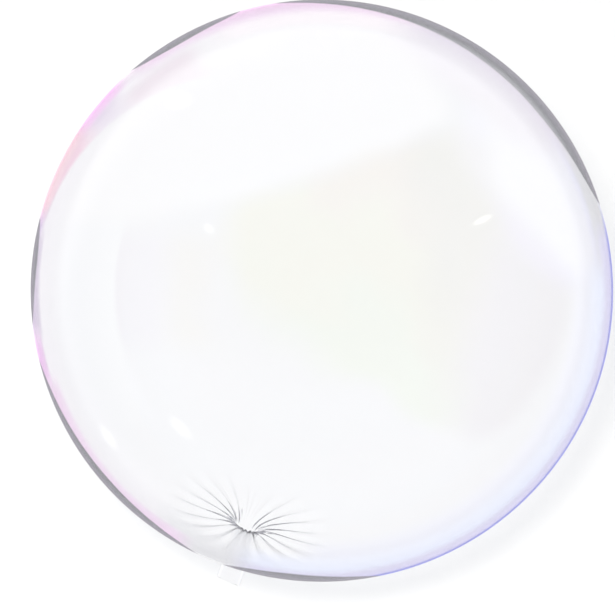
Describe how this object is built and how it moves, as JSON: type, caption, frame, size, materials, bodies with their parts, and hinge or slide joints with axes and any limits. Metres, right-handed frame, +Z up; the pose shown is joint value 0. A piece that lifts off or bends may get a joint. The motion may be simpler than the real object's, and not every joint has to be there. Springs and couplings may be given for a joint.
{
  "type": "clear bubble balloon",
  "caption": "Round see-through film balloon lying loose: a seamless blown bubble on a small flat rest spot, gathered into a pleated neck with a short flat filling tail.",
  "frame": {"origin": "middle of the small flat on which the bubble rests, straight below the bubble's centre", "axes": "+Z up from the surface the balloon lies on; the neck and tail point towards -Y and 50 degrees below the horizon; the balloon is mirror symmetric across X = 0"},
  "size_m": [0.56, 0.56, 0.5574],
  "materials": {
    "clear_film": "clear stretched plastic film, glossy, with faint pink and blue tints at the rim"
  },
  "bodies": {
    "root": {"balloon": "clear_film"}
  },
  "joints": []
}
